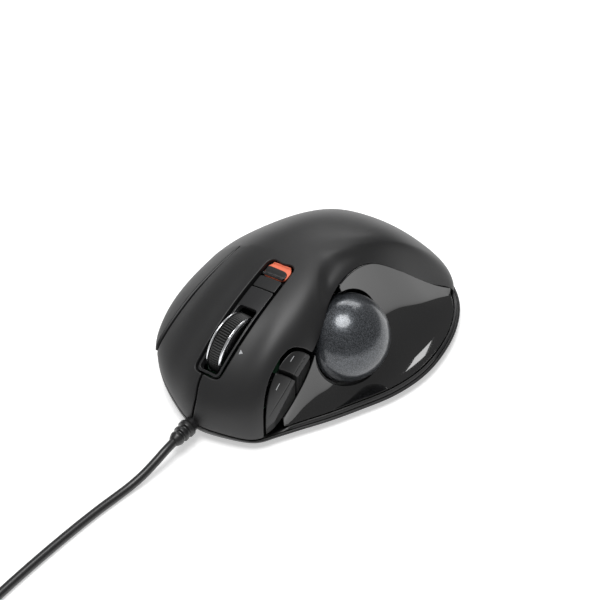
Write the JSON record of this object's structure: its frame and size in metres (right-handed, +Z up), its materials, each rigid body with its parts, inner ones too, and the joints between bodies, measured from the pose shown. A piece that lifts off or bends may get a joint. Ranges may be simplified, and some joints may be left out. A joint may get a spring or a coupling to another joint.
{
  "type": "trackball mouse",
  "caption": "Corded right-handed trackball mouse: soft-touch hump, gloss thumb wing with a ball, ribbed wheel strip, side keys and a USB cable wound in a coil.",
  "frame": {"origin": "on the desk under the middle of the mouse, measured without the cable", "axes": "+Y forward along the cable exit, +X to the user's right, +Z up"},
  "size_m": [0.1339, 0.2781, 0.0465],
  "materials": {
    "soft_touch": "soft-touch coating, very dark grey",
    "key_plastic": "fine satin moulded plastic",
    "piano_black": "mirror gloss black",
    "tray_plastic": "fine textured satin black",
    "strip_plastic": "satin dark grey with bright edges",
    "orange_marker": "satin salmon orange",
    "ball_resin": "dark grey resin with pearl flake under clear gloss",
    "cup_plastic": "satin black",
    "bead_ceramic": "polished white bead",
    "ring_chrome": "polished chrome plate",
    "tyre_rubber": "ribbed black rubber",
    "switch_plastic": "moulded black",
    "board_green": "solder mask green",
    "chip_black": "moulded package",
    "lens_clear": "clear moulded lens",
    "screw_steel": "zinc plated steel",
    "plug_steel": "nickel plated sheet steel",
    "foot_pad": "slick dark pad",
    "cable_jacket": "soft black jacket with a slight sheen",
    "cable_tie": "matte black strap",
    "plug_insert": "white moulded tongue"
  },
  "bodies": {
    "base": {"palm_cover": "soft_touch", "thumb_panel": "piano_black", "base_tray": "tray_plastic", "wheel_bezel": "strip_plastic", "speed_indicator": "orange_marker", "ball_cup": "cup_plastic", "ball_bearing_1": "bead_ceramic", "ball_bearing_2": "bead_ceramic", "ball_bearing_3": "bead_ceramic", "wheel_encoder": "switch_plastic", "left_click_switch": "switch_plastic", "right_click_switch": "switch_plastic", "wheel_click_switch": "switch_plastic", "back_switch": "switch_plastic", "forward_switch": "switch_plastic", "function_key_switch": "switch_plastic", "side_function_switch": "switch_plastic", "speed_slide_switch": "switch_plastic", "cable_connector": "switch_plastic", "main_board": "board_green", "sensor_board": "board_green", "key_board": "board_green", "side_key_board": "board_green", "sensor_chip": "chip_black", "controller_chip": "chip_black", "sensor_lens": "lens_clear", "case_screw_1": "screw_steel", "case_screw_2": "screw_steel", "case_screw_3": "screw_steel", "case_screw_4": "screw_steel", "board_screw_1": "screw_steel", "board_screw_2": "screw_steel", "usb_plug_shell": "plug_steel", "foot_pad_1": "foot_pad", "foot_pad_2": "foot_pad", "foot_pad_3": "foot_pad", "foot_pad_4": "foot_pad", "foot_pad_5": "foot_pad", "cable_gland": "cable_jacket", "inner_lead": "cable_jacket", "cable_free": "cable_jacket", "cable_coil": "cable_jacket", "cable_tail": "cable_jacket", "usb_plug_body": "cable_jacket", "cable_tie": "cable_tie", "usb_plug_insert": "plug_insert"},
    "left_click": {"left_click_plate": "soft_touch"},
    "right_click": {"right_click_plate": "soft_touch"},
    "side_function": {"side_function_button": "soft_touch"},
    "back": {"back_button": "key_plastic"},
    "forward": {"forward_button": "key_plastic"},
    "function_key": {"function_key": "key_plastic"},
    "speed_slider": {"speed_slider": "key_plastic"},
    "wheel_carrier": {"wheel_carrier": "switch_plastic"},
    "wheel": {"wheel_hub": "switch_plastic", "wheel_tyre": "tyre_rubber", "wheel_ring_left": "ring_chrome", "wheel_ring_right": "ring_chrome"},
    "ball": {"track_ball": "ball_resin"}
  },
  "joints": [
    {"name": "left_click_press", "type": "hinge", "parent": "base", "child": "left_click", "pos_m": [-0.005, 0.007, 0.0425], "axis": [-1, 0, 0], "range_deg": [0, 0.7], "stiffness_Nm_per_rad": 1.6, "springref_deg": -0.34},
    {"name": "right_click_press", "type": "hinge", "parent": "base", "child": "right_click", "pos_m": [0.025, 0.007, 0.0375], "axis": [-1, 0, 0], "range_deg": [0, 0.7], "stiffness_Nm_per_rad": 1.6, "springref_deg": -0.34},
    {"name": "side_function_press", "type": "hinge", "parent": "base", "child": "side_function", "pos_m": [0.041, 0.001, 0.026], "axis": [-0.6, 0, 0.8], "range_deg": [0, 0.8], "stiffness_Nm_per_rad": 1.6, "springref_deg": -0.34},
    {"name": "back_press", "type": "slide", "parent": "base", "child": "back", "axis": [0.8, 0, -0.6], "range_m": [0, 0.0005], "stiffness_N_per_m": 1400, "springref_m": -0.0004},
    {"name": "forward_press", "type": "slide", "parent": "base", "child": "forward", "axis": [0.8, 0, -0.6], "range_m": [0, 0.0005], "stiffness_N_per_m": 1400, "springref_m": -0.0004},
    {"name": "function_key_press", "type": "slide", "parent": "base", "child": "function_key", "axis": [0, 0, -1], "range_m": [0, 0.0005], "stiffness_N_per_m": 1400, "springref_m": -0.0004},
    {"name": "wheel_press", "type": "slide", "parent": "base", "child": "wheel_carrier", "axis": [0, 0, -1], "range_m": [0, 0.0006], "stiffness_N_per_m": 1800, "springref_m": -0.0004},
    {"name": "speed_slide", "type": "slide", "parent": "base", "child": "speed_slider", "axis": [0, -0.979, 0.204], "range_m": [0, 0.0014]},
    {"name": "wheel_spin", "type": "hinge", "parent": "wheel_carrier", "child": "wheel", "pos_m": [0.0094, 0.0353, 0.0263], "axis": [1, 0, 0], "continuous": true},
    {"name": "ball_roll", "type": "hinge", "parent": "base", "child": "ball", "pos_m": [-0.0195, 0.004, 0.021], "axis": [0, 1, 0], "continuous": true}
  ]
}
